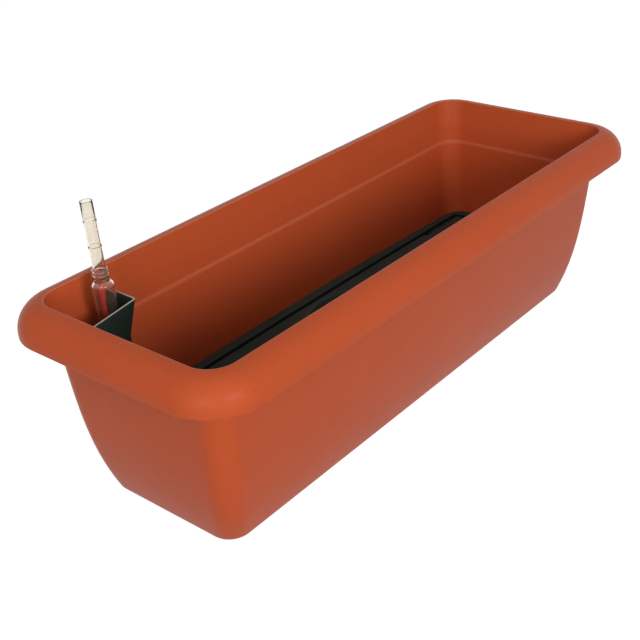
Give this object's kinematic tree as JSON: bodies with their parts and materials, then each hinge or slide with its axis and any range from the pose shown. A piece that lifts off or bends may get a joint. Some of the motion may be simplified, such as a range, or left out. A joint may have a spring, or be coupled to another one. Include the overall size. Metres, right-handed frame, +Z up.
{
  "type": "window box planter",
  "caption": "Long self-watering trough with a rolled rim, a false floor with soil cups, a corner filling shaft and a float gauge.",
  "frame": {"origin": "middle of the footprint, on the surface that the four feet stand on", "axes": "+X along the box, away from the end with the filling shaft; +Y across it, towards the long side with the shaft; +Z up"},
  "size_m": [0.6, 0.232, 0.2384],
  "materials": {
    "terracotta_plastic": "satin, fine orange peel",
    "dark_plastic": "satin",
    "clear_plastic": "clear, glossy",
    "red_plastic": "glossy",
    "float_foam": "matte",
    "plug_rubber": "matte"
  },
  "bodies": {
    "box": {"planter_box": "terracotta_plastic"},
    "plug": {"drain_plug": "plug_rubber"},
    "insert": {"false_floor": "dark_plastic", "soil_cup": "dark_plastic", "left_soil_cup": "dark_plastic", "right_soil_cup": "dark_plastic", "filler_shaft": "dark_plastic"},
    "gauge": {"gauge_body": "clear_plastic", "gauge_tube": "clear_plastic", "gauge_foot": "dark_plastic"},
    "float": {"float_body": "float_foam", "float_rod": "red_plastic"}
  },
  "joints": [
    {"name": "insert_lift", "type": "slide", "parent": "box", "child": "insert", "axis": [0, 0, 1], "range_m": [0, 0.18]},
    {"name": "gauge_lift", "type": "slide", "parent": "insert", "child": "gauge", "axis": [0, 0.0558, 0.9984], "range_m": [0, 0.17]},
    {"name": "float_slide", "type": "slide", "parent": "gauge", "child": "float", "axis": [0, 0.0558, 0.9984], "range_m": [0, 0.04]},
    {"name": "plug_pull", "type": "slide", "parent": "box", "child": "plug", "axis": [0, 0, 1], "range_m": [0, 0.014]}
  ]
}
